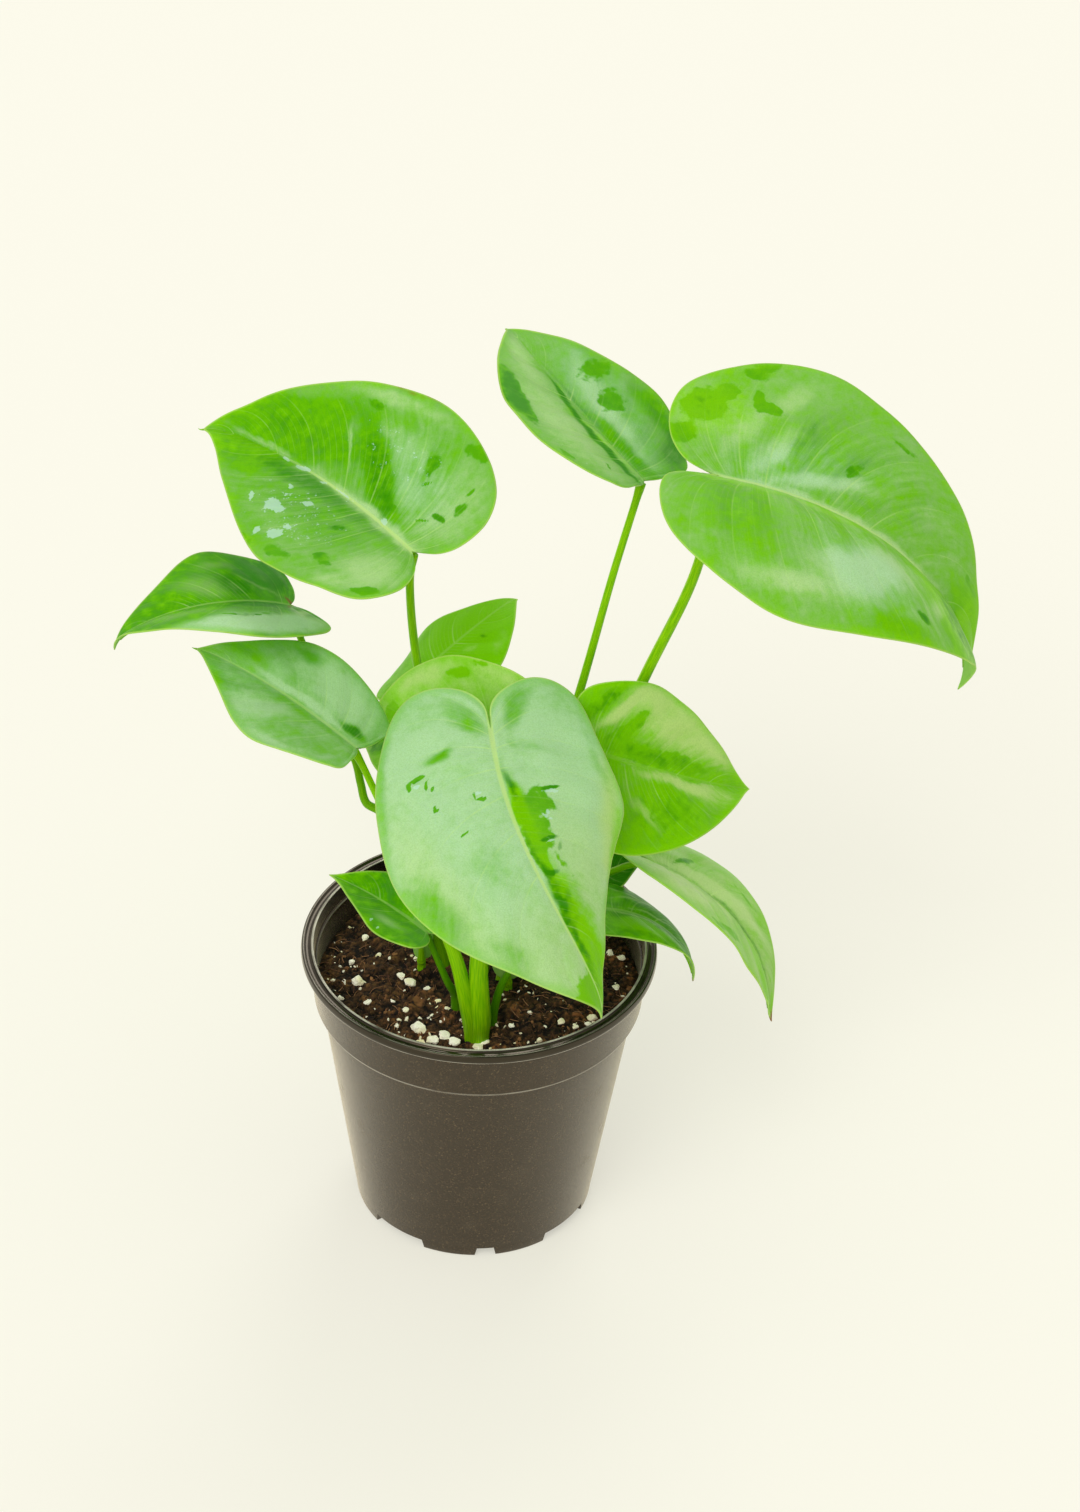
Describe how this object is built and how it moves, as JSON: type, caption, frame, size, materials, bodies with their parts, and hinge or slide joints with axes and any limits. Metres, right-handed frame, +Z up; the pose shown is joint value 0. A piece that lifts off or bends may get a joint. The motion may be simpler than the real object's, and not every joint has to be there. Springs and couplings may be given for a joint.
{
  "type": "potted swiss cheese plant",
  "caption": "Young swiss cheese plant with whole heart-shaped leaves on long stalks, growing from soil in a round black nursery pot.",
  "frame": {"origin": "middle of the whole plant's footprint on the surface that the pot stands on", "axes": "+Z up along the pot's axis, -Y towards the side that the picture looks from, +X to its right"},
  "size_m": [0.269, 0.1836, 0.2786],
  "materials": {
    "pot_plastic": "brown-black semi-matt moulded polypropylene with a fine grain",
    "potting_mix": "dark brown moist peat and coir with pale perlite",
    "leaf_green": "smooth waxy fresh green with a soft sheen",
    "sheath_olive": "thin dull olive to yellow-green sheath"
  },
  "bodies": {
    "root": {"pot": "pot_plastic", "soil": "potting_mix", "leaf_front": "leaf_green", "leaf_left": "leaf_green", "leaf_small_left": "leaf_green", "leaf_small_right": "leaf_green", "leaf_top_left": "leaf_green", "leaf_far_left": "leaf_green", "leaf_top_middle": "leaf_green", "leaf_top_right": "leaf_green", "leaf_back": "leaf_green", "leaf_middle": "leaf_green", "leaf_right": "leaf_green", "leaf_low_right": "leaf_green", "leaf_young": "leaf_green", "sheath_left": "sheath_olive", "sheath_right": "sheath_olive"}
  },
  "joints": []
}
